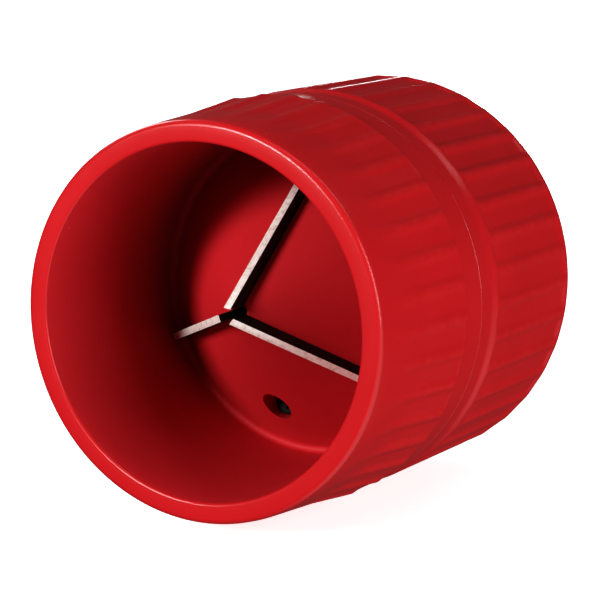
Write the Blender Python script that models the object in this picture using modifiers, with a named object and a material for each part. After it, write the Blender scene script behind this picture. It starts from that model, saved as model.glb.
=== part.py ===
"""Tube deburring tool: a hand-held plastic barrel with three fixed steel blades.

The tool lies on its side with its axis along Y and the mouth of its inside-deburring cup at -Y.
Two moulded shells meet at a parting line round the waist. The front shell's spigot runs on inside
the rear shell, and each shell closes its cup with a conical web. The blades stand edge-on in slots
through both webs: their front edges form a raised cone for the inside of a tube, and their rear
edges form a funnel for the outside of a tube. One locking screw, opposite the first blade, holds
the webs together.

Everything is modelled mouth-up in the tool's own frame and then laid over by one empty.
Depths are measured down from the mouth plane.
"""
import math

import bmesh
import bpy

MM = 0.001

# Driving dimensions, in metres.
LENGTH = 50.0 * MM
MOUTH_OUTER_RADIUS = 23.0 * MM
CUP_RADIUS = 20.5 * MM
SWELL_RADIUS = 23.64 * MM
SWELL_DEPTH = 9.66 * MM
FRONT_GRIP_RADIUS = 24.6 * MM
FRONT_GRIP_END = 19.5 * MM
WAIST_RADIUS = 24.2 * MM
PARTING_DEPTH = 23.8 * MM
REAR_GRIP_START = 27.2 * MM
REAR_GRIP_RADIUS = 24.62 * MM
REAR_END_RADIUS = 24.92 * MM
REAR_ROUNDING = 1.5 * MM
GAP = 0.3 * MM

# The webs are 45 degree cones. Each value is the depth of a cone's own tip on the axis.
FRONT_CONE_TIP = 8.3 * MM
FRONT_WEB_AXIAL = 6.8 * MM
REAR_WEB_AXIAL = 3.4 * MM
CONE_GAP = GAP * math.sqrt(2.0)
CENTRE_HOLE_RADIUS = 1.0 * MM
GROOVE_ROUNDING = 0.5 * MM
SPIGOT_RADIUS = 21.9 * MM

# Grip pockets: shallow flats between narrow ribs. The front ones run out over the grip's rear edge.
RIB_COUNT = 38
POCKET_WIDTH = 3.0 * MM
FRONT_POCKET_START = 6.0 * MM
FRONT_POCKET_END = 20.0 * MM
FRONT_POCKET_START_RADIUS = 23.3 * MM
FRONT_POCKET_END_RADIUS = 24.25 * MM
REAR_POCKET_START = 28.0 * MM
REAR_POCKET_END = 47.2 * MM
REAR_POCKET_RADIUS = 24.3 * MM

# Blades.
BLADE_COUNT = 3
FIRST_BLADE_ANGLE = math.radians(81.0)
BLADE_THICKNESS = 0.9 * MM
BLADE_PROUD = 2.9 * MM
BLADE_INNER_RADIUS = 0.9 * MM
BLADE_OUTER_RADIUS = 19.95 * MM
TANG_RADIUS = 21.5 * MM
TANG_TOP_DEPTH = 34.0 * MM
NOTCH_EASING = 0.1 * MM

# Locking screw, opposite the first blade and so half way between the other two.
SCREW_ANGLE = FIRST_BLADE_ANGLE + math.pi
SCREW_CIRCLE_RADIUS = 14.0 * MM
SCREW_HEAD_RADIUS = 1.55 * MM
SCREW_HEAD_HEIGHT = 1.3 * MM
SCREW_SHANK_RADIUS = 1.0 * MM
SCREW_LENGTH = 6.5 * MM
SCREW_POINT = 1.2 * MM
SCREW_SEAT_DEPTH = 26.4 * MM

SHELL_STEPS = 2 * RIB_COUNT
SCREW_STEPS = 16
MERGE_DISTANCE = 0.01 * MM
OVERSHOOT = 3.0 * MM

PARTS_COLLECTION = "deburring_tool"
CUTTERS_COLLECTION = "cutters"

FRONT_CONE_BACK = FRONT_CONE_TIP + FRONT_WEB_AXIAL
REAR_CONE_FRONT = FRONT_CONE_BACK + CONE_GAP
REAR_CONE_TIP = REAR_CONE_FRONT + REAR_WEB_AXIAL


def clear_scene():
    for old in list(bpy.data.objects):
        bpy.data.objects.remove(old, do_unlink=True)


def new_collection(name):
    collection = bpy.data.collections.new(name)
    bpy.context.scene.collection.children.link(collection)
    return collection


def make_material(name, colour, roughness, metallic):
    material = bpy.data.materials.new(name)
    material.use_nodes = True
    shader = material.node_tree.nodes["Principled BSDF"]
    shader.inputs["Base Color"].default_value = (*colour, 1.0)
    shader.inputs["Roughness"].default_value = roughness
    shader.inputs["Metallic"].default_value = metallic
    return material


def height(depth):
    """Height above the tool's middle of a point that is this deep below the mouth plane."""
    return LENGTH / 2 - depth


def arc(centre_radius, centre_depth, radius, start, end, steps):
    """Points (radius, depth) on an arc. 0 degrees points outward and 90 towards the mouth."""
    points = []
    for i in range(steps + 1):
        angle = math.radians(start + (end - start) * i / steps)
        points.append((centre_radius + radius * math.cos(angle), centre_depth - radius * math.sin(angle)))
    return points


def turned(name, profile, steps, material, collection, parent):
    """A closed profile of (radius, depth) points, turned about the tool's axis."""
    mesh = bpy.data.meshes.new(name)
    vertices = [(radius, 0.0, height(depth)) for radius, depth in profile]
    edges = [(i, (i + 1) % len(profile)) for i in range(len(profile))]
    mesh.from_pydata(vertices, edges, [])
    return turn_mesh(name, mesh, steps, material, collection, parent)


def turn_mesh(name, mesh, steps, material, collection, parent):
    piece = bpy.data.objects.new(name, mesh)
    collection.objects.link(piece)
    piece.parent = parent
    mesh.materials.append(material)
    turn = piece.modifiers.new("turn", "SCREW")
    turn.axis = "Z"
    turn.angle = 2 * math.pi
    turn.steps = steps
    turn.render_steps = steps
    turn.use_merge_vertices = True
    turn.merge_threshold = MERGE_DISTANCE
    return piece


def add_box(mesh_builder, low, high, angle, tilt=0.0, pivot=(0.0, 0.0, 0.0)):
    """Add a box between two corners (radial, tangential, height), tilted, then turned about Z."""
    made = bmesh.ops.create_cube(mesh_builder, size=1.0)["verts"]
    cos_tilt, sin_tilt = math.cos(tilt), math.sin(tilt)
    for vertex in made:
        radial, tangential, up = (
            low[i] + (high[i] - low[i]) * (vertex.co[i] + 0.5) - pivot[i] for i in range(3)
        )
        leaned = (
            pivot[0] + radial * cos_tilt + up * sin_tilt,
            pivot[1] + tangential,
            pivot[2] + up * cos_tilt - radial * sin_tilt,
        )
        vertex.co = (
            leaned[0] * math.cos(angle) - leaned[1] * math.sin(angle),
            leaned[0] * math.sin(angle) + leaned[1] * math.cos(angle),
            leaned[2],
        )


def finish_cutter(name, mesh_builder, collection, parent):
    mesh = bpy.data.meshes.new(name)
    mesh_builder.to_mesh(mesh)
    mesh_builder.free()
    cutter = bpy.data.objects.new(name, mesh)
    collection.objects.link(cutter)
    cutter.parent = parent
    cutter.hide_render = True
    cutter.display_type = "WIRE"
    return cutter


def cut(piece, cutter):
    boolean = piece.modifiers.new("cut_" + cutter.name, "BOOLEAN")
    boolean.operation = "DIFFERENCE"
    boolean.solver = "EXACT"
    boolean.object = cutter


def blade_angle(index):
    return FIRST_BLADE_ANGLE + 2 * math.pi * index / BLADE_COUNT


def on_screw_axis(depth):
    return (
        SCREW_CIRCLE_RADIUS * math.cos(SCREW_ANGLE),
        SCREW_CIRCLE_RADIUS * math.sin(SCREW_ANGLE),
        height(depth),
    )


def front_shell_profile():
    rim = 0.7 * MM
    lip = 0.4 * MM
    shoulder = 0.4 * MM
    groove_centre = CUP_RADIUS - GROOVE_ROUNDING
    groove_depth = FRONT_CONE_TIP + groove_centre - GROOVE_ROUNDING * math.sqrt(2.0)
    profile = arc(MOUTH_OUTER_RADIUS - rim, rim, rim, 90, 0, 3)
    profile.append((SWELL_RADIUS, SWELL_DEPTH))
    profile += arc(FRONT_GRIP_RADIUS - shoulder, FRONT_GRIP_END - shoulder, shoulder, 0, -90, 2)
    profile.append((WAIST_RADIUS, PARTING_DEPTH - GAP / 2))
    profile.append((SPIGOT_RADIUS, PARTING_DEPTH - GAP / 2))
    profile.append((SPIGOT_RADIUS, FRONT_CONE_BACK + SPIGOT_RADIUS))
    profile.append((CENTRE_HOLE_RADIUS, FRONT_CONE_BACK + CENTRE_HOLE_RADIUS))
    profile.append((CENTRE_HOLE_RADIUS, FRONT_CONE_TIP + CENTRE_HOLE_RADIUS))
    profile += arc(groove_centre, groove_depth, GROOVE_ROUNDING, -135, 0, 3)
    profile += arc(CUP_RADIUS + lip, lip, lip, 180, 90, 2)
    return profile


def rear_shell_profile():
    lip = 0.5 * MM
    shoulder = 0.4 * MM
    socket_radius = SPIGOT_RADIUS + GAP
    profile = [(WAIST_RADIUS, PARTING_DEPTH + GAP / 2), (WAIST_RADIUS, REAR_GRIP_START)]
    profile += arc(REAR_GRIP_RADIUS - shoulder, REAR_GRIP_START + shoulder, shoulder, 60, 0, 2)
    profile += arc(REAR_END_RADIUS - REAR_ROUNDING, LENGTH - REAR_ROUNDING, REAR_ROUNDING, 0, -90, 4)
    profile += arc(CUP_RADIUS + lip, LENGTH - lip, lip, -90, -180, 2)
    profile.append((CUP_RADIUS, REAR_CONE_TIP + CUP_RADIUS))
    profile.append((CENTRE_HOLE_RADIUS, REAR_CONE_TIP + CENTRE_HOLE_RADIUS))
    profile.append((CENTRE_HOLE_RADIUS, REAR_CONE_FRONT + CENTRE_HOLE_RADIUS))
    profile.append((socket_radius, REAR_CONE_FRONT + socket_radius))
    profile.append((socket_radius, PARTING_DEPTH + GAP / 2))
    return profile


def pocket_cutter(name, start, end, start_radius, end_radius, collection, parent):
    """Flat cutters all round the barrel, leaning with the bottoms of the pockets they leave."""
    builder = bmesh.new()
    length = end - start
    tilt = math.atan2(start_radius - end_radius, length)
    bottom_length = math.hypot(length, start_radius - end_radius)
    low = (end_radius, -POCKET_WIDTH / 2, height(end))
    high = (end_radius + OVERSHOOT, POCKET_WIDTH / 2, height(end) + bottom_length)
    for i in range(RIB_COUNT):
        angle = 2 * math.pi * (i + 0.5) / RIB_COUNT
        add_box(builder, low, high, angle, tilt, (end_radius, 0.0, height(end)))
    return finish_cutter(name, builder, collection, parent)


def slot_cutter(name, with_notches, collection, parent):
    """Slots for the blades, and the notches for their tangs in the end of the front spigot."""
    builder = bmesh.new()
    half = BLADE_THICKNESS / 2 + GAP
    for i in range(BLADE_COUNT):
        low = (BLADE_INNER_RADIUS - GAP, -half, -LENGTH / 2)
        high = (BLADE_OUTER_RADIUS + GAP, half, LENGTH / 2)
        add_box(builder, low, high, blade_angle(i))
    slots = finish_cutter(name, builder, collection, parent)
    if not with_notches:
        return [slots]
    builder = bmesh.new()
    for i in range(BLADE_COUNT):
        low = (BLADE_OUTER_RADIUS - GAP, -half - NOTCH_EASING, -LENGTH / 2)
        high = (SPIGOT_RADIUS + OVERSHOOT, half + NOTCH_EASING, height(TANG_TOP_DEPTH - GAP))
        add_box(builder, low, high, blade_angle(i))
    return [slots, finish_cutter(name + "_notches", builder, collection, parent)]


def screw_hole_cutter(name, radius, top_depth, bottom_depth, collection, parent):
    """A round rod on the screw's axis, which is parallel to the tool's."""
    builder = bmesh.new()
    rod = bmesh.ops.create_cone(
        builder,
        cap_ends=True,
        segments=SCREW_STEPS,
        radius1=radius,
        radius2=radius,
        depth=bottom_depth - top_depth,
    )["verts"]
    bmesh.ops.translate(builder, verts=rod, vec=on_screw_axis((top_depth + bottom_depth) / 2))
    return finish_cutter(name, builder, collection, parent)


def make_front_shell(material, parts, cutters, frame):
    shell = turned("front_shell", front_shell_profile(), SHELL_STEPS, material, parts, frame)
    cut(shell, pocket_cutter(
        "front_pockets", FRONT_POCKET_START, FRONT_POCKET_END,
        FRONT_POCKET_START_RADIUS, FRONT_POCKET_END_RADIUS, cutters, frame,
    ))
    for cutter in slot_cutter("front_slots", True, cutters, frame):
        cut(shell, cutter)
    cut(shell, screw_hole_cutter(
        "screw_seat", SCREW_HEAD_RADIUS + GAP, FRONT_CONE_TIP, SCREW_SEAT_DEPTH, cutters, frame,
    ))
    cut(shell, screw_hole_cutter(
        "screw_hole_front", SCREW_SHANK_RADIUS + GAP, FRONT_CONE_TIP, LENGTH, cutters, frame,
    ))
    return shell


def make_rear_shell(material, parts, cutters, frame):
    shell = turned("rear_shell", rear_shell_profile(), SHELL_STEPS, material, parts, frame)
    cut(shell, pocket_cutter(
        "rear_pockets", REAR_POCKET_START, REAR_POCKET_END,
        REAR_POCKET_RADIUS, REAR_POCKET_RADIUS, cutters, frame,
    ))
    for cutter in slot_cutter("rear_slots", False, cutters, frame):
        cut(shell, cutter)
    cut(shell, screw_hole_cutter(
        "screw_hole_rear", SCREW_SHANK_RADIUS + GAP, FRONT_CONE_TIP, LENGTH, cutters, frame,
    ))
    return shell


def make_blade(index, material, parts, frame):
    """A strip with mitred ends whose tang is trapped between the spigot's end and the rear web."""
    front_tip = FRONT_CONE_TIP - BLADE_PROUD
    rear_tip = REAR_CONE_TIP + BLADE_PROUD
    outline = [
        (BLADE_INNER_RADIUS, front_tip + BLADE_INNER_RADIUS),
        (BLADE_OUTER_RADIUS, front_tip + BLADE_OUTER_RADIUS),
        (BLADE_OUTER_RADIUS, TANG_TOP_DEPTH),
        (TANG_RADIUS, TANG_TOP_DEPTH),
        (TANG_RADIUS, FRONT_CONE_BACK + TANG_RADIUS),
        (BLADE_OUTER_RADIUS, FRONT_CONE_BACK + BLADE_OUTER_RADIUS),
        (BLADE_OUTER_RADIUS, rear_tip + BLADE_OUTER_RADIUS),
        (BLADE_INNER_RADIUS, rear_tip + BLADE_INNER_RADIUS),
    ]
    curve = bpy.data.curves.new("blade_outline", "CURVE")
    curve.dimensions = "2D"
    curve.fill_mode = "BOTH"
    curve.extrude = BLADE_THICKNESS / 2
    spline = curve.splines.new("POLY")
    spline.points.add(len(outline) - 1)
    for point, (radius, depth) in zip(spline.points, outline):
        point.co = (radius, height(depth), 0.0, 1.0)
    spline.use_cyclic_u = True
    curve.materials.append(material)
    blade = bpy.data.objects.new("blade_%d" % (index + 1), curve)
    parts.objects.link(blade)
    blade.parent = frame
    blade.rotation_euler = (math.pi / 2, 0.0, blade_angle(index))
    return blade


def make_locking_screw(material, parts, frame):
    """A small thread-forming screw, head towards the mouth, standing on its own axis."""
    bearing = SCREW_SEAT_DEPTH - GAP
    top = bearing - SCREW_HEAD_HEIGHT
    tip = bearing + SCREW_LENGTH
    profile = [
        (0.0, top),
        (SCREW_HEAD_RADIUS, top),
        (SCREW_HEAD_RADIUS, bearing),
        (SCREW_SHANK_RADIUS, bearing),
        (SCREW_SHANK_RADIUS, tip - SCREW_POINT),
        (0.0, tip),
    ]
    mesh = bpy.data.meshes.new("locking_screw")
    vertices = [(radius, 0.0, height(depth)) for radius, depth in profile]
    mesh.from_pydata(vertices, [(i, i + 1) for i in range(len(profile) - 1)], [])
    screw = turn_mesh("locking_screw", mesh, SCREW_STEPS, material, parts, frame)
    screw.location = on_screw_axis(LENGTH / 2)
    return screw


def main():
    clear_scene()
    parts = new_collection(PARTS_COLLECTION)
    cutters = new_collection(CUTTERS_COLLECTION)
    frame = bpy.data.objects.new("tool_axis", None)
    frame.rotation_euler = (math.pi / 2, 0.0, 0.0)
    parts.objects.link(frame)
    front_plastic = make_material("red_front_plastic", (0.53, 0.008, 0.012), 0.28, 0.0)
    rear_plastic = make_material("red_rear_plastic", (0.50, 0.008, 0.012), 0.30, 0.0)
    blade_steel = make_material("hardened_blade_steel", (0.42, 0.41, 0.40), 0.32, 1.0)
    screw_steel = make_material("black_oxide_steel", (0.03, 0.03, 0.032), 0.4, 1.0)
    make_front_shell(front_plastic, parts, cutters, frame)
    make_rear_shell(rear_plastic, parts, cutters, frame)
    for i in range(BLADE_COUNT):
        make_blade(i, blade_steel, parts, frame)
    make_locking_screw(screw_steel, parts, frame)


main()
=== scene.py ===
"""Looks for the tube deburring tool: smooth ribbed shells, ground blades and a recessed screw.

Depth runs from the mouth plane towards the rear rim, along +Y. Angles turn from +X towards +Z.
"""
import math

import bmesh
import bpy
import numpy as np
from mathutils import Matrix, Vector


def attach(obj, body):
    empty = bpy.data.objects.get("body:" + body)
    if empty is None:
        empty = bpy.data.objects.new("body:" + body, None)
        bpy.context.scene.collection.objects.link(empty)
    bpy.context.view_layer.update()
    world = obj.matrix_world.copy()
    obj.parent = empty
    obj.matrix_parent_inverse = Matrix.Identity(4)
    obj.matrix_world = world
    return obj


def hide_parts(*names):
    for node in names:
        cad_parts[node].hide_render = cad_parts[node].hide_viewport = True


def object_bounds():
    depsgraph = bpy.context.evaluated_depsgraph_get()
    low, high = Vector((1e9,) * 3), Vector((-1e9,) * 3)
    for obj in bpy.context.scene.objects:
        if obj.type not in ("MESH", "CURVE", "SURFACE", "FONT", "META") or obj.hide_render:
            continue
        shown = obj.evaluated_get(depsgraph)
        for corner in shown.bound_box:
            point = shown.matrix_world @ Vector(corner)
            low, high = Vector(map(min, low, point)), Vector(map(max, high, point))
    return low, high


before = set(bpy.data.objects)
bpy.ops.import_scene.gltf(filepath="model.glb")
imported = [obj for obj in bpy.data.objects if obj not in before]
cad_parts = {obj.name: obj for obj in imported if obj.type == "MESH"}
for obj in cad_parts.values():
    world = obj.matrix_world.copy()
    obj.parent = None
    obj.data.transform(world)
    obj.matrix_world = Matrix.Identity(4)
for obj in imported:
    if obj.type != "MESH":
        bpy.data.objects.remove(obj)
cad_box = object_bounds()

MM = 0.001
MOUTH_Y = cad_box[0].y
LENGTH = cad_box[1].y - cad_box[0].y
FLOOR_Z = cad_box[0].z

# Barrel, as in the solids.
MOUTH_OUTER_RADIUS = 23.0 * MM
CUP_RADIUS = 20.5 * MM
SWELL_RADIUS = 23.64 * MM
SWELL_DEPTH = 9.66 * MM
FRONT_GRIP_RADIUS = 24.6 * MM
FRONT_GRIP_END = 19.5 * MM
SHOULDER_ROUNDING = 1.0 * MM
WAIST_RADIUS = 24.2 * MM
SHOULDER_SWEEP = math.acos(1 - (FRONT_GRIP_RADIUS - WAIST_RADIUS) / SHOULDER_ROUNDING)
SHOULDER_START = FRONT_GRIP_END - SHOULDER_ROUNDING * math.sin(SHOULDER_SWEEP)
PARTING_DEPTH = 23.8 * MM
PARTING_CHAMFER = 0.06 * MM
REAR_GRIP_START = 27.2 * MM
REAR_GRIP_RADIUS = 24.62 * MM
REAR_RAMP = 1.9 * MM
REAR_END_RADIUS = 24.92 * MM
REAR_ROUNDING = 1.5 * MM
SEAM = 0.05 * MM

# Webs: 45 degree cones, given by the depth of their own tips on the axis.
FRONT_CONE_TIP = 8.3 * MM
FRONT_CONE_BACK = 15.1 * MM
REAR_CONE_FRONT = 15.2 * MM
REAR_CONE_TIP = 18.92 * MM
CENTRE_HOLE_RADIUS = 1.0 * MM
GROOVE_ROUNDING = 0.6 * MM
SPIGOT_RADIUS = 21.9 * MM

# Grip ribs.
RIB_COUNT = 38
STEPS_PER_RIB = 16
RIB_HALF_WIDTH = 0.1 * MM
RIB_FLANK = 1.05 * MM
FRONT_POCKET_DEPTH = 0.3 * MM
FRONT_POCKET_FADE = (1.5 * MM, 12.0 * MM)
REAR_POCKET_DEPTH = 0.38 * MM
REAR_POCKET_RISE = (27.7 * MM, 29.0 * MM)
REAR_POCKET_FALL = (47.4 * MM, 49.4 * MM)

# Blades and the locking screw, which stands opposite the first blade.
BLADE_COUNT = 3
FIRST_BLADE_ANGLE = math.radians(81.0)
BLADE_THICKNESS = 0.9 * MM
BLADE_PROUD = 2.9 * MM
BLADE_INNER_RADIUS = 0.9 * MM
BLADE_OUTER_RADIUS = 19.95 * MM
TANG_RADIUS = 21.5 * MM
TANG_TOP_DEPTH = 34.0 * MM
SLOT_CLEARANCE = 0.06 * MM
SLOT_INNER_RADIUS = 0.5 * MM
SLOT_END_CLEARANCE = 0.15 * MM
SCREW_HOLE_CLEARANCE = 0.15 * MM
CUT_END = 45 * MM
SCREW_ANGLE = FIRST_BLADE_ANGLE + math.pi
SCREW_CIRCLE_RADIUS = 14.0 * MM
SCREW_HEAD_RADIUS = 1.55 * MM
SCREW_HEAD_HEIGHT = 1.3 * MM
SCREW_SHANK_RADIUS = 1.0 * MM
SCREW_LENGTH = 6.5 * MM
SCREW_STEPS = 32
THREAD_PITCH = 0.8 * MM
SCREW_SEAT_DEPTH = 26.4 * MM
SCREW_SEAT_RADIUS = 1.85 * MM


# ---------------------------------------------------------------- small helpers

def smooth(low, high, value):
    t = np.clip((value - low) / (high - low), 0.0, 1.0)
    return t * t * (3 - 2 * t)


def place(radius, angle, depth):
    """World position of a point given by its radius, angle and depth."""
    return Vector((radius * math.cos(angle), MOUTH_Y + depth, radius * math.sin(angle)))


def arc(centre_radius, centre_depth, radius, start, end, steps):
    """Points (radius, depth) on an arc. 0 degrees points outward and 90 towards the mouth."""
    angles = np.radians(np.linspace(start, end, steps + 1))
    return [(centre_radius + radius * math.cos(a), centre_depth - radius * math.sin(a)) for a in angles]


def stretch(start, end, steps):
    """Points from start to end, leaving out start itself."""
    return [
        (start[0] + (end[0] - start[0]) * i / steps, start[1] + (end[1] - start[1]) * i / steps)
        for i in range(1, steps + 1)
    ]


def blade_angle(index):
    return FIRST_BLADE_ANGLE + 2 * math.pi * index / BLADE_COUNT


def new_object(name, mesh):
    made = bpy.data.objects.new(name, mesh)
    bpy.context.scene.collection.objects.link(made)
    return made


def shade(mesh, degrees):
    mesh.shade_smooth()
    mesh.set_sharp_from_angle(angle=math.radians(degrees))


def apply_modifiers(piece):
    graph = bpy.context.evaluated_depsgraph_get()
    mesh = bpy.data.meshes.new_from_object(
        piece.evaluated_get(graph), preserve_all_data_layers=True, depsgraph=graph,
    )
    piece.modifiers.clear()
    piece.data = mesh
    return piece


# ---------------------------------------------------------------- turned shells

def front_surface(depth):
    """Radius of the front shell's outside without its pockets."""
    return np.interp(
        depth,
        [0.0, SWELL_DEPTH, SHOULDER_START],
        [MOUTH_OUTER_RADIUS, SWELL_RADIUS, FRONT_GRIP_RADIUS],
    )


def front_pocket(depth):
    rise = smooth(FRONT_POCKET_FADE[0], FRONT_POCKET_FADE[1], depth)
    return FRONT_POCKET_DEPTH * rise * (1 - smooth(SHOULDER_START, FRONT_GRIP_END, depth))


def rear_pocket(depth):
    rise = smooth(REAR_POCKET_RISE[0], REAR_POCKET_RISE[1], depth)
    return REAR_POCKET_DEPTH * rise * (1 - smooth(REAR_POCKET_FALL[0], REAR_POCKET_FALL[1], depth))


def front_profile():
    """The closed profile, and how many of its first points lie on the ribbed outside."""
    rim, lip = 0.7 * MM, 0.35 * MM
    groove_centre = CUP_RADIUS - GROOVE_ROUNDING
    groove_depth = FRONT_CONE_TIP + groove_centre - GROOVE_ROUNDING * math.sqrt(2.0)
    end = PARTING_DEPTH - SEAM / 2
    points = arc(MOUTH_OUTER_RADIUS - rim, rim, rim, 90, 0, 8)
    for i in range(1, 33):
        depth = rim + (SHOULDER_START - rim) * i / 32
        points.append((float(front_surface(depth)), depth))
    shoulder_centre = FRONT_GRIP_RADIUS - SHOULDER_ROUNDING
    sweep = -math.degrees(SHOULDER_SWEEP)
    points += arc(shoulder_centre, SHOULDER_START, SHOULDER_ROUNDING, 0, sweep, 7)[1:]
    outer = len(points)
    points += stretch(points[-1], (WAIST_RADIUS, end - PARTING_CHAMFER), 5)
    points += stretch(points[-1], (WAIST_RADIUS - PARTING_CHAMFER, end), 2)
    points += stretch(points[-1], (SPIGOT_RADIUS, end), 1)
    points += stretch(points[-1], (SPIGOT_RADIUS, FRONT_CONE_BACK + SPIGOT_RADIUS), 3)
    points += stretch(points[-1], (CENTRE_HOLE_RADIUS, FRONT_CONE_BACK + CENTRE_HOLE_RADIUS), 4)
    points += stretch(points[-1], (CENTRE_HOLE_RADIUS, FRONT_CONE_TIP + CENTRE_HOLE_RADIUS + 0.2 * MM), 1)
    easing = 0.2 * MM
    points += stretch(
        points[-1], (CENTRE_HOLE_RADIUS + easing, FRONT_CONE_TIP + CENTRE_HOLE_RADIUS + easing), 1,
    )
    groove = arc(groove_centre, groove_depth, GROOVE_ROUNDING, -135, 0, 8)
    points += stretch(points[-1], groove[0], 10) + groove[1:]
    points += stretch(points[-1], (CUP_RADIUS, lip), 12)
    points += arc(CUP_RADIUS + lip, lip, lip, 180, 90, 5)[1:]
    return points, outer


def rear_profile():
    """The closed profile, and how many of its first points lie on the ribbed outside."""
    lip = 0.5 * MM
    socket = SPIGOT_RADIUS + SEAM
    start = PARTING_DEPTH + SEAM / 2
    points = [(WAIST_RADIUS - PARTING_CHAMFER, start)]
    points += stretch(points[-1], (WAIST_RADIUS, start + PARTING_CHAMFER), 2)
    points += stretch(points[-1], (WAIST_RADIUS, REAR_GRIP_START - REAR_RAMP / 2), 5)
    for i in range(1, 9):
        depth = REAR_GRIP_START + REAR_RAMP * (i / 8 - 0.5)
        rise = (REAR_GRIP_RADIUS - WAIST_RADIUS) * float(smooth(0, 8, i))
        points.append((WAIST_RADIUS + rise, depth))
    barrel = np.concatenate((
        np.linspace(REAR_GRIP_START + REAR_RAMP / 2, 29.4 * MM, 11)[1:],
        np.linspace(29.4 * MM, 46.0 * MM, 14)[1:],
        np.linspace(46.0 * MM, LENGTH - REAR_ROUNDING, 11)[1:],
    ))
    low, high = REAR_GRIP_START, LENGTH - REAR_ROUNDING
    for depth in barrel:
        radius = float(np.interp(depth, [low, high], [REAR_GRIP_RADIUS, REAR_END_RADIUS]))
        points.append((radius, float(depth)))
    points += arc(REAR_END_RADIUS - REAR_ROUNDING, LENGTH - REAR_ROUNDING, REAR_ROUNDING, 0, -90, 10)[1:]
    outer = len(points)
    points += arc(CUP_RADIUS + lip, LENGTH - lip, lip, -90, -180, 6)
    points += stretch(points[-1], (CUP_RADIUS, REAR_CONE_TIP + CUP_RADIUS + 0.3 * MM), 8)
    points += stretch(points[-1], (CUP_RADIUS - 0.3 * MM, REAR_CONE_TIP + CUP_RADIUS - 0.3 * MM), 2)
    points += stretch(points[-1], (CENTRE_HOLE_RADIUS, REAR_CONE_TIP + CENTRE_HOLE_RADIUS), 10)
    points += stretch(points[-1], (CENTRE_HOLE_RADIUS, REAR_CONE_FRONT + CENTRE_HOLE_RADIUS), 1)
    points += stretch(points[-1], (socket, REAR_CONE_FRONT + socket), 4)
    points += stretch(points[-1], (socket, start), 3)
    return points, outer


def turned_shell(name, profile, pocket, outer_count):
    """Sweep the closed profile round the axis. The first outer_count points carry the ribs.

    Each pocket's bottom is flat from rib to rib, and a rib is a narrow rounded ridge over it.
    """
    steps = RIB_COUNT * STEPS_PER_RIB
    radius = np.array([p[0] for p in profile])
    depth = np.array([p[1] for p in profile])
    theta = 2 * math.pi * np.arange(steps) / steps
    pitch = 2 * math.pi / RIB_COUNT
    from_pocket = (theta / pitch) % 1.0 - 0.5
    from_rib = (0.5 - np.abs(from_pocket)) * pitch
    grid = np.repeat(radius[None, :], steps, 0)
    # Rib-crest mask for a lighter tint in the plastic: part wear, part painted sheen of the crests
    # catching light.
    rib_wear_and_sheen = np.zeros_like(grid)
    deep = pocket(depth[:outer_count])
    for j in range(outer_count):
        rib = 1 - smooth(RIB_HALF_WIDTH, RIB_HALF_WIDTH + RIB_FLANK, from_rib * radius[j])
        flat = radius[j] - (radius[j] - deep[j]) / np.cos(from_pocket * pitch)
        grid[:, j] -= np.maximum(flat, 0.0) * (1 - rib)
        rib_wear_and_sheen[:, j] = rib * deep[j] / deep.max()
    x = grid * np.cos(theta)[:, None]
    z = grid * np.sin(theta)[:, None]
    y = np.repeat((MOUTH_Y + depth)[None, :], steps, 0)
    vertices = np.stack((x, y, z), -1).reshape(-1, 3)
    count = len(profile)
    i, j = np.meshgrid(np.arange(steps), np.arange(count), indexing="ij")
    i2, j2 = (i + 1) % steps, (j + 1) % count
    faces = np.stack((i * count + j, i * count + j2, i2 * count + j2, i2 * count + j), -1).reshape(-1, 4)
    mesh = bpy.data.meshes.new(name)
    mesh.from_pydata(vertices.tolist(), [], faces.tolist())
    attribute = mesh.attributes.new("rib_wear_and_sheen", "FLOAT", "POINT")
    attribute.data.foreach_set("value", rib_wear_and_sheen.reshape(-1).astype(np.float32))
    if not faces_point_out(mesh):
        mesh.flip_normals()
    return new_object(name, mesh)


def dress(shell, outside, inside):
    """Give the shell its two finishes: the polished outside and the plainer faces within the cup."""
    shell.data.materials.append(outside)
    shell.data.materials.append(inside)
    for face in shell.data.polygons:
        middle = face.center
        out = math.hypot(middle.x, middle.z)
        depth = middle.y - MOUTH_Y
        in_the_cup = out < CUP_RADIUS + 0.02 * MM
        hidden_inside = out < SPIGOT_RADIUS + 1.0 * MM and 2.0 * MM < depth < 48.0 * MM
        within = in_the_cup or hidden_inside
        face.material_index = 1 if within else 0


def faces_point_out(mesh):
    """True if the closed mesh has its faces outward, by the sign of its volume."""
    builder = bmesh.new()
    builder.from_mesh(mesh)
    volume = builder.calc_volume(signed=True)
    builder.free()
    return volume > 0


def cutter_box(builder, radial, half_width, depths, angle):
    """A box from radial[0] to radial[1] and depths[0] to depths[1], turned to an angle."""
    made = bmesh.ops.create_cube(builder, size=1.0)["verts"]
    for vertex in made:
        out = radial[0] + (radial[1] - radial[0]) * (vertex.co.x + 0.5)
        side = 2 * half_width * vertex.co.y
        depth = depths[0] + (depths[1] - depths[0]) * (vertex.co.z + 0.5)
        vertex.co = place(out, angle, depth) + side * Vector((-math.sin(angle), 0.0, math.cos(angle)))


def cutter_rod(builder, radius, depths, segments=48):
    """A rod on the locking screw's axis."""
    middle = (depths[0] + depths[1]) / 2
    turn = Matrix.Rotation(math.pi / 2, 4, "X")
    spot = Matrix.Translation(place(SCREW_CIRCLE_RADIUS, SCREW_ANGLE, middle))
    bmesh.ops.create_cone(
        builder, cap_ends=True, segments=segments, radius1=radius, radius2=radius,
        depth=depths[1] - depths[0], matrix=spot @ turn,
    )


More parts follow.
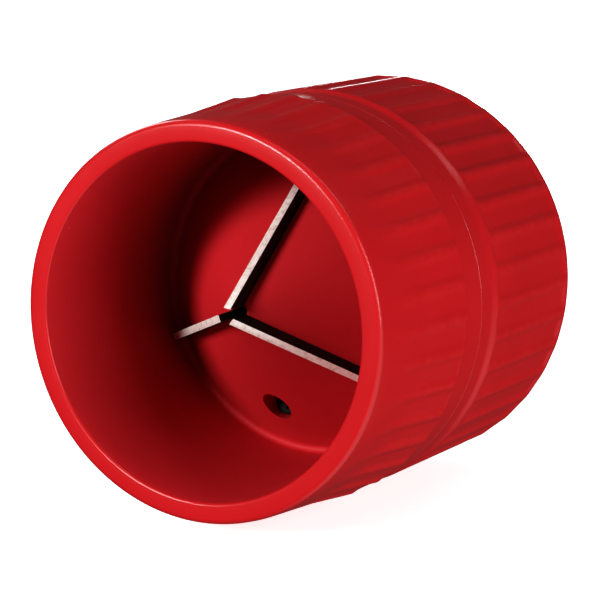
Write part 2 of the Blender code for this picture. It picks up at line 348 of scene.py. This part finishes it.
def subtract(piece, name, fill, crossing=False):
    """Cut from the piece the solids that fill() puts into one mesh. Crossing ones overlap each other."""
    builder = bmesh.new()
    fill(builder)
    bmesh.ops.recalc_face_normals(builder, faces=builder.faces)
    mesh = bpy.data.meshes.new(name)
    builder.to_mesh(mesh)
    builder.free()
    cutter = new_object(name, mesh)
    boolean = piece.modifiers.new(name, "BOOLEAN")
    boolean.operation = "DIFFERENCE"
    boolean.solver = "EXACT"
    boolean.use_self = crossing
    boolean.object = cutter
    apply_modifiers(piece)
    bpy.data.objects.remove(cutter)


def blade_boxes(builder, radial, easing, depths):
    half = BLADE_THICKNESS / 2 + SLOT_CLEARANCE + easing
    for i in range(BLADE_COUNT):
        cutter_box(builder, radial, half, depths, blade_angle(i))


def cut_slots(shell, end):
    radial = (SLOT_INNER_RADIUS, BLADE_OUTER_RADIUS + SLOT_END_CLEARANCE)
    subtract(shell, "slots", lambda builder: blade_boxes(builder, radial, 0.0, (3 * MM, end)))


def cut_notches(shell):
    """Notches for the blades' tangs in the end of the spigot."""
    radial = (BLADE_OUTER_RADIUS - 0.3 * MM, SPIGOT_RADIUS + 0.5 * MM)
    depths = (TANG_TOP_DEPTH - 0.1 * MM, CUT_END)
    subtract(shell, "notches", lambda builder: blade_boxes(builder, radial, 0.04 * MM, depths))


def cut_screw_seat(shell):
    depths = (5 * MM, SCREW_SEAT_DEPTH)
    subtract(shell, "seat", lambda builder: cutter_rod(builder, SCREW_SEAT_RADIUS, depths))


def cut_screw_hole(shell):
    radius, depths = SCREW_SHANK_RADIUS + SCREW_HOLE_CLEARANCE, (6 * MM, CUT_END)
    subtract(shell, "hole", lambda builder: cutter_rod(builder, radius, depths, 24))


def make_front_shell():
    profile, outer = front_profile()
    shell = turned_shell("front_shell_moulding", profile, front_pocket, outer)
    cut_slots(shell, CUT_END)
    cut_notches(shell)
    cut_screw_seat(shell)
    cut_screw_hole(shell)
    shade(shell.data, 32)
    return shell


def make_rear_shell():
    profile, outer = rear_profile()
    shell = turned_shell("rear_shell_moulding", profile, rear_pocket, outer)
    cut_slots(shell, 46 * MM)
    cut_screw_hole(shell)
    shade(shell.data, 32)
    return shell


# ---------------------------------------------------------------- blades and screw

def blade_outline():
    front_tip = FRONT_CONE_TIP - BLADE_PROUD
    rear_tip = REAR_CONE_TIP + BLADE_PROUD
    return [
        (BLADE_INNER_RADIUS, front_tip + BLADE_INNER_RADIUS),
        (BLADE_OUTER_RADIUS, front_tip + BLADE_OUTER_RADIUS),
        (BLADE_OUTER_RADIUS, TANG_TOP_DEPTH),
        (TANG_RADIUS, TANG_TOP_DEPTH),
        (TANG_RADIUS, FRONT_CONE_BACK + TANG_RADIUS),
        (BLADE_OUTER_RADIUS, FRONT_CONE_BACK + BLADE_OUTER_RADIUS),
        (BLADE_OUTER_RADIUS, rear_tip + BLADE_OUTER_RADIUS),
        (BLADE_INNER_RADIUS, rear_tip + BLADE_INNER_RADIUS),
    ]


def make_blade(index, dark, bright):
    """Black strip with bright ground faces along its front and rear cutting edges."""
    angle = blade_angle(index)
    side = Vector((-math.sin(angle), 0.0, math.cos(angle)))
    outline = blade_outline()
    builder = bmesh.new()
    rows = [
        [builder.verts.new(place(r, angle, d) + side * s * BLADE_THICKNESS / 2) for r, d in outline]
        for s in (-1, 1)
    ]
    builder.faces.new(rows[0])
    builder.faces.new(list(reversed(rows[1])))
    for k in range(len(outline)):
        n = (k + 1) % len(outline)
        face = builder.faces.new((rows[0][n], rows[0][k], rows[1][k], rows[1][n]))
        if k in (0, len(outline) - 2):
            face.material_index = 1
    bmesh.ops.recalc_face_normals(builder, faces=builder.faces)
    bmesh.ops.bevel(
        builder, geom=list(builder.edges), offset=0.05 * MM, segments=2, profile=0.5,
        affect="EDGES", material=-1,
    )
    mesh = bpy.data.meshes.new("blade_%d_strip" % (index + 1))
    builder.to_mesh(mesh)
    builder.free()
    mesh.materials.append(dark)
    mesh.materials.append(bright)
    shade(mesh, 30)
    return new_object(mesh.name, mesh)


def screw_rows(top, bearing, tip):
    """Rings of the screw from head to point: radius, depth, and whether the thread is on it."""
    edge = 0.18 * MM
    core = SCREW_SHANK_RADIUS * 0.78
    head = [(0.0, top)] + arc(SCREW_HEAD_RADIUS - edge, top + edge, edge, 90, 0, 4)
    head += [(SCREW_HEAD_RADIUS, bearing - 0.1 * MM), (SCREW_HEAD_RADIUS - 0.1 * MM, bearing)]
    head += [(SCREW_SHANK_RADIUS * 0.8, bearing)]
    rows = [(r, d, False) for r, d in head]
    start = bearing + 0.5 * MM
    end = tip - 0.1 * MM
    rows += [(core, start + (end - start) * i / 55, True) for i in range(56)]
    rows.append((0.0, tip, False))
    return rows


def thread_radius(core, depth, share, tip):
    """Radius of the threaded shank at this share of a turn. It tapers to the point."""
    phase = (depth / THREAD_PITCH - share) % 1.0
    crest = max(0.0, 1 - abs(phase - 0.5) / 0.28)
    radius = core + crest * (SCREW_SHANK_RADIUS - core)
    return radius * min(1.0, (tip - depth) / (1.4 * MM)) ** 0.6


def screw_ring(builder, radius, depth, threaded, tip):
    centre = place(SCREW_CIRCLE_RADIUS, SCREW_ANGLE, depth)
    if radius == 0.0:
        return [builder.verts.new(centre)]
    ring = []
    for s in range(SCREW_STEPS):
        turn = 2 * math.pi * s / SCREW_STEPS
        r = thread_radius(radius, depth, s / SCREW_STEPS, tip) if threaded else radius
        ring.append(builder.verts.new(centre + Vector((r * math.cos(turn), 0.0, r * math.sin(turn)))))
    return ring


def join_rings(builder, a, b):
    """Faces between two rings, either of which may be a single point."""
    for s in range(SCREW_STEPS):
        n = (s + 1) % SCREW_STEPS
        if len(a) == 1:
            builder.faces.new((a[0], b[s], b[n]))
        elif len(b) == 1:
            builder.faces.new((a[s], b[0], a[n]))
        else:
            builder.faces.new((a[s], b[s], b[n], a[n]))


def make_screw(steel):
    """Cylinder-head screw: a cross recess in the head and a thread along the shank."""
    bearing = SCREW_SEAT_DEPTH - 0.02 * MM
    top = bearing - SCREW_HEAD_HEIGHT
    tip = bearing + SCREW_LENGTH
    builder = bmesh.new()
    rings = [screw_ring(builder, *row, tip) for row in screw_rows(top, bearing, tip)]
    for a, b in zip(rings, rings[1:]):
        join_rings(builder, a, b)
    bmesh.ops.recalc_face_normals(builder, faces=builder.faces)
    mesh = bpy.data.meshes.new("locking_screw_fastener")
    builder.to_mesh(mesh)
    builder.free()
    screw = new_object(mesh.name, mesh)

    def recess(cutter):
        for quarter in (0, 1):
            made = bmesh.ops.create_cube(cutter, size=1.0)["verts"]
            across = (1.9 * MM, 0.42 * MM) if quarter else (0.42 * MM, 1.9 * MM)
            for vertex in made:
                taper = 0.55 if vertex.co.z > 0 else 1.0
                x, z = vertex.co.x * across[0] * taper, vertex.co.y * across[1] * taper
                y = top + (-0.2 * MM if vertex.co.z < 0 else 0.8 * MM)
                vertex.co = place(SCREW_CIRCLE_RADIUS, SCREW_ANGLE, y) + Vector((x, 0.0, z))

    subtract(screw, "recess", recess, crossing=True)
    screw.data.materials.append(steel)
    shade(screw.data, 35)
    return screw


# ---------------------------------------------------------------- materials

class Nodes:
    """A short way to add and join shader nodes."""

    def __init__(self, name):
        self.material = bpy.data.materials.new(name)
        self.material.use_nodes = True
        self.tree = self.material.node_tree
        self.shader = self.tree.nodes["Principled BSDF"]
        self.where = self.add("ShaderNodeTexCoord").outputs["Object"]

    def add(self, kind, **values):
        node = self.tree.nodes.new(kind)
        for key, value in values.items():
            setattr(node, key, value)
        return node

    def link(self, source, target):
        self.tree.links.new(source, target)

    def noise(self, scale, detail=3.0, roughness=0.5):
        node = self.add("ShaderNodeTexNoise")
        node.inputs["Scale"].default_value = scale
        node.inputs["Detail"].default_value = detail
        node.inputs["Roughness"].default_value = roughness
        self.link(self.where, node.inputs["Vector"])
        return node.outputs["Fac"]

    def ramp(self, source, stops):
        node = self.add("ShaderNodeValToRGB")
        elements = node.color_ramp.elements
        while len(elements) < len(stops):
            elements.new(0.5)
        for element, (position, colour) in zip(elements, stops):
            element.position = position
            element.color = (*colour, 1.0) if len(colour) == 3 else colour
        self.link(source, node.inputs["Fac"])
        return node.outputs["Color"]

    def span(self, source, low, high, from_low=0.0, from_high=1.0):
        node = self.add("ShaderNodeMapRange")
        node.inputs["From Min"].default_value = from_low
        node.inputs["From Max"].default_value = from_high
        node.inputs["To Min"].default_value = low
        node.inputs["To Max"].default_value = high
        self.link(source, node.inputs["Value"])
        return node.outputs["Result"]

    def math(self, operation, first, second):
        node = self.add("ShaderNodeMath", operation=operation)
        for socket, value in zip(node.inputs, (first, second)):
            if isinstance(value, (int, float)):
                socket.default_value = value
            else:
                self.link(value, socket)
        return node.outputs["Value"]

    def blend(self, amount, first, second):
        node = self.add("ShaderNodeMix", data_type="RGBA")
        self.link(amount, node.inputs["Factor"])
        sockets = [s for s in node.inputs if s.type == "RGBA"]
        for socket, value in zip(sockets, (first, second)):
            if isinstance(value, tuple):
                socket.default_value = (*value, 1.0)
            else:
                self.link(value, socket)
        return [s for s in node.outputs if s.type == "RGBA"][0]

    def bump(self, height, strength, distance, below=None):
        node = self.add("ShaderNodeBump")
        node.inputs["Strength"].default_value = strength
        node.inputs["Distance"].default_value = distance
        self.link(height, node.inputs["Height"])
        if below is not None:
            self.link(below, node.inputs["Normal"])
        return node.outputs["Normal"]


# Roughness range, coat weight and specular level of the outside.
POLISHED = ((0.26, 0.38), 0.26, 0.18)


def red_plastic(name, colour, darker, roughness, coat, specular):
    """Injection-moulded plastic: faint flow marks, fine grain, dust specks, and rib crests lightened in
    patches, part wear and part painted sheen of the crests catching light.
    """
    nodes = Nodes(name)
    flow = nodes.ramp(nodes.noise(70.0, 4.0), [(0.3, darker), (0.7, colour)])
    # Rib crests lightened in patches toward a brighter red: part wear, part painted sheen of the crests
    # catching light.
    rib_wear_and_sheen = nodes.add("ShaderNodeAttribute", attribute_name="rib_wear_and_sheen").outputs["Fac"]
    scuffs_and_sheen = nodes.math("MULTIPLY", rib_wear_and_sheen, nodes.span(nodes.noise(900.0, 2.0), 0.0, 0.25, 0.4, 0.75))
    worn_and_sheen = nodes.blend(scuffs_and_sheen, flow, (0.62, 0.03, 0.028))
    specks = nodes.add("ShaderNodeTexVoronoi", feature="F1")
    specks.inputs["Scale"].default_value = 520.0
    nodes.link(nodes.where, specks.inputs["Vector"])
    tiny = nodes.math("LESS_THAN", specks.outputs["Distance"], 0.04)
    here = nodes.math("GREATER_THAN", nodes.noise(150.0, 1.0), 0.7)
    dust = nodes.math("MULTIPLY", tiny, here)
    nodes.link(nodes.blend(dust, worn_and_sheen, (0.85, 0.3, 0.27)), nodes.shader.inputs["Base Color"])
    nodes.link(nodes.span(nodes.noise(240.0, 3.0), *roughness), nodes.shader.inputs["Roughness"])
    grain = nodes.bump(nodes.noise(5200.0, 2.0, 0.6), 0.7, 0.012 * MM)
    waves = nodes.bump(nodes.noise(110.0, 2.0), 0.4, 0.05 * MM, grain)
    nodes.link(waves, nodes.shader.inputs["Normal"])
    sparkle = nodes.bump(nodes.noise(6000.0, 2.0, 0.6), 1.0, 0.02 * MM, waves)
    nodes.link(sparkle, nodes.shader.inputs["Coat Normal"])
    nodes.shader.inputs["Coat Weight"].default_value = coat
    nodes.shader.inputs["Coat Roughness"].default_value = 0.1
    nodes.shader.inputs["Specular IOR Level"].default_value = specular
    return nodes.material


def ground_steel(name):
    """Bright ground edge: fine grinding marks, and a pale warm mottle that is part stains, part painted
    reflection of the bright surroundings and the red plastic.
    """
    nodes = Nodes(name)
    stain_and_reflection_mottle = nodes.noise(1500.0, 4.0, 0.65)
    # Pale pink-brown tint: part stains, part painted reflection of the red plastic and the bright
    # surroundings.
    stops = [(0.3, (0.55, 0.42, 0.37)), (0.45, (0.88, 0.79, 0.72)), (0.7, (0.98, 0.93, 0.88))]
    nodes.link(nodes.ramp(stain_and_reflection_mottle, stops), nodes.shader.inputs["Base Color"])
    nodes.shader.inputs["Metallic"].default_value = 0.35
    nodes.link(nodes.span(stain_and_reflection_mottle, 0.3, 0.5), nodes.shader.inputs["Roughness"])
    nodes.link(nodes.bump(nodes.noise(5200.0, 2.0), 0.5, 0.008 * MM), nodes.shader.inputs["Normal"])
    return nodes.material


def black_steel(name, base, light):
    """Oil-blackened hardened steel."""
    nodes = Nodes(name)
    nodes.link(
        nodes.ramp(nodes.noise(420.0, 5.0, 0.6), [(0.35, base), (0.8, light)]),
        nodes.shader.inputs["Base Color"],
    )
    nodes.shader.inputs["Metallic"].default_value = 0.3
    nodes.shader.inputs["Specular IOR Level"].default_value = 0.25
    nodes.link(nodes.span(nodes.noise(700.0, 3.0), 0.4, 0.6), nodes.shader.inputs["Roughness"])
    nodes.link(nodes.bump(nodes.noise(2600.0, 3.0), 0.3, 0.008 * MM), nodes.shader.inputs["Normal"])
    return nodes.material


def paper_material():
    """Pale paper with a painted glow that is weaker near the tool, a painted shade round it, and full
    further away.
    """
    nodes = Nodes("pale_paper")
    nodes.link(
        nodes.ramp(nodes.noise(9.0, 2.0), [(0.3, (0.86, 0.86, 0.86)), (0.7, (0.9, 0.9, 0.9))]),
        nodes.shader.inputs["Base Color"],
    )
    distance = nodes.add("ShaderNodeVectorMath", operation="LENGTH")
    nodes.link(nodes.where, distance.inputs[0])
    # Painted glow, weaker near the tool as a painted shade round it.
    glow_with_painted_shade = nodes.span(distance.outputs["Value"], *PAPER_GLOW_AND_SHADE, *PAPER_SHADE_REACH)
    nodes.link(glow_with_painted_shade, nodes.shader.inputs["Emission Strength"])
    nodes.shader.inputs["Emission Color"].default_value = (1.0, 1.0, 1.0, 1.0)
    nodes.shader.inputs["Roughness"].default_value = 0.9
    nodes.shader.inputs["Specular IOR Level"].default_value = 0.1
    return nodes.material


# ---------------------------------------------------------------- studio

CAMERA_AZIMUTH = math.radians(28.33)
CAMERA_ELEVATION = math.radians(9.6)
CAMERA_DISTANCE = 279.3 * MM
CAMERA_AIM = Vector((-0.26, -0.31, -0.87)) * MM
CAMERA_LENS = 137.96
FLOOR_RADIUS = 1.2
BACKDROP_HEIGHT = 0.3
# Painted glow of the paper near the tool and far out; the weaker glow near the tool is painted shade. The
# reach gives the distances between.
PAPER_GLOW_AND_SHADE = (0.62, 1.0)
PAPER_SHADE_REACH = (0.04, 0.35)
WORLD_STRENGTH = 0.04
TABLE_GLOW_STRENGTH = 1.4
TABLE_GLOW_START = 0.5
TABLE_GLOW_DIRECTION = (0.72, -0.15, -0.68)


def make_camera():
    data = bpy.data.cameras.new("camera")
    data.lens = CAMERA_LENS
    data.clip_start = 0.01
    camera = new_object("camera", data)
    flat = math.cos(CAMERA_ELEVATION)
    back = Vector((
        math.sin(CAMERA_AZIMUTH) * flat,
        -math.cos(CAMERA_AZIMUTH) * flat,
        math.sin(CAMERA_ELEVATION),
    ))
    camera.location = CAMERA_AIM + back * CAMERA_DISTANCE
    camera.rotation_euler = (-back).to_track_quat("-Z", "Y").to_euler()
    bpy.context.scene.camera = camera


def make_floor():
    """A round sheet of paper whose edge sweeps up into a low wall all round."""
    bend = 0.12
    outline = [(FLOOR_RADIUS * i / 12, 0.0) for i in range(13)]
    outline += [
        (FLOOR_RADIUS + bend * math.sin(math.radians(a)), bend * (1 - math.cos(math.radians(a))))
        for a in range(10, 91, 10)
    ]
    outline.append((FLOOR_RADIUS + bend, BACKDROP_HEIGHT))
    steps = 96
    builder = bmesh.new()
    rings = []
    for radius, height in outline[1:]:
        angles = (2 * math.pi * s / steps for s in range(steps))
        spots = ((radius * math.cos(a), radius * math.sin(a), height) for a in angles)
        rings.append([builder.verts.new(spot) for spot in spots])
    builder.faces.new(rings[0])
    for low, high in zip(rings, rings[1:]):
        for s in range(steps):
            n = (s + 1) % steps
            builder.faces.new((low[s], high[s], high[n], low[n]))
    mesh = bpy.data.meshes.new("paper")
    builder.to_mesh(mesh)
    builder.free()
    mesh.shade_smooth()
    mesh.materials.append(paper_material())
    paper = new_object("paper", mesh)
    paper.location.z = FLOOR_Z
    paper.visible_diffuse = False
    paper.visible_glossy = False
    paper.visible_shadow = False


def soft_light(name, azimuth, elevation, distance, size, watts):
    """A rectangular light aimed at the tool. Azimuth 0 is in front of the mouth and 90 is at +X."""
    data = bpy.data.lights.new(name, "AREA")
    data.shape = "RECTANGLE"
    data.size, data.size_y = size
    data.energy = watts
    light = new_object(name, data)
    a, e = math.radians(azimuth), math.radians(elevation)
    away = Vector((math.sin(a) * math.cos(e), -math.cos(a) * math.cos(e), math.sin(e)))
    light.location = away * distance
    light.rotation_euler = (-away).to_track_quat("-Z", "Y").to_euler()
    return light


def make_lights():
    soft_light("front_light", -19.0, 17.5, 0.5, (0.13, 0.13), 2.45)
    soft_light("right_light", 75.0, 14.0, 0.5, (0.2, 0.26), 1.32)
    soft_light("top_strip", 60.0, 75.0, 0.5, (0.4, 0.05), 0.25)
    soft_light("rear_card", 200.0, 3.0, 0.6, (0.165, 0.09), 0.6)
    soft_light("rear_left_light", 240.0, 32.0, 0.6, (0.2, 0.2), 1.2)
    soft_light("rear_right_light", 130.0, 48.0, 0.6, (0.2, 0.2), 0.25)


def make_world():
    """Dim all-round light that is stronger from below on the right, like a lit table."""
    world = bpy.data.worlds.new("studio")
    bpy.context.scene.world = world
    world.use_nodes = True
    tree = world.node_tree
    where = tree.nodes.new("ShaderNodeTexCoord").outputs["Generated"]
    toward = tree.nodes.new("ShaderNodeVectorMath")
    toward.operation = "DOT_PRODUCT"
    toward.inputs[1].default_value = TABLE_GLOW_DIRECTION
    tree.links.new(where, toward.inputs[0])
    strength = tree.nodes.new("ShaderNodeMapRange")
    strength.interpolation_type = "SMOOTHSTEP"
    strength.inputs["From Min"].default_value = TABLE_GLOW_START
    strength.inputs["From Max"].default_value = 1.0
    strength.inputs["To Min"].default_value = WORLD_STRENGTH
    strength.inputs["To Max"].default_value = TABLE_GLOW_STRENGTH
    tree.links.new(toward.outputs["Value"], strength.inputs["Value"])
    background = tree.nodes["Background"]
    background.inputs["Color"].default_value = (1.0, 1.0, 1.0, 1.0)
    tree.links.new(strength.outputs["Result"], background.inputs["Strength"])
    bpy.context.scene.view_settings.view_transform = "Standard"
    bpy.context.scene.view_settings.look = "Medium High Contrast"


# ---------------------------------------------------------------- the whole tool

def put(piece, node):
    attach(piece, "root")
    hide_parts(node)


def make_tool():
    inside = red_plastic("red_inside", (0.48, 0.016, 0.022), (0.44, 0.014, 0.019), (0.5, 0.62), 0.0, 0.15)
    front = make_front_shell()
    dress(front, red_plastic("red_front", (0.49, 0.012, 0.016), (0.45, 0.010, 0.013), *POLISHED), inside)
    put(front, "front_shell")
    rear = make_rear_shell()
    dress(rear, red_plastic("red_rear", (0.48, 0.012, 0.016), (0.43, 0.010, 0.013), *POLISHED), inside)
    put(rear, "rear_shell")
    dark = black_steel("blackened_blade", (0.005, 0.006, 0.005), (0.022, 0.023, 0.02))
    bright = ground_steel("ground_edge")
    blued = black_steel("blackened_screw", (0.003, 0.003, 0.003), (0.008, 0.007, 0.007))
    for i in range(BLADE_COUNT):
        put(make_blade(i, dark, bright), "blade_%d" % (i + 1))
    put(make_screw(blued), "locking_screw")


make_world()
make_floor()
make_lights()
make_camera()
make_tool()
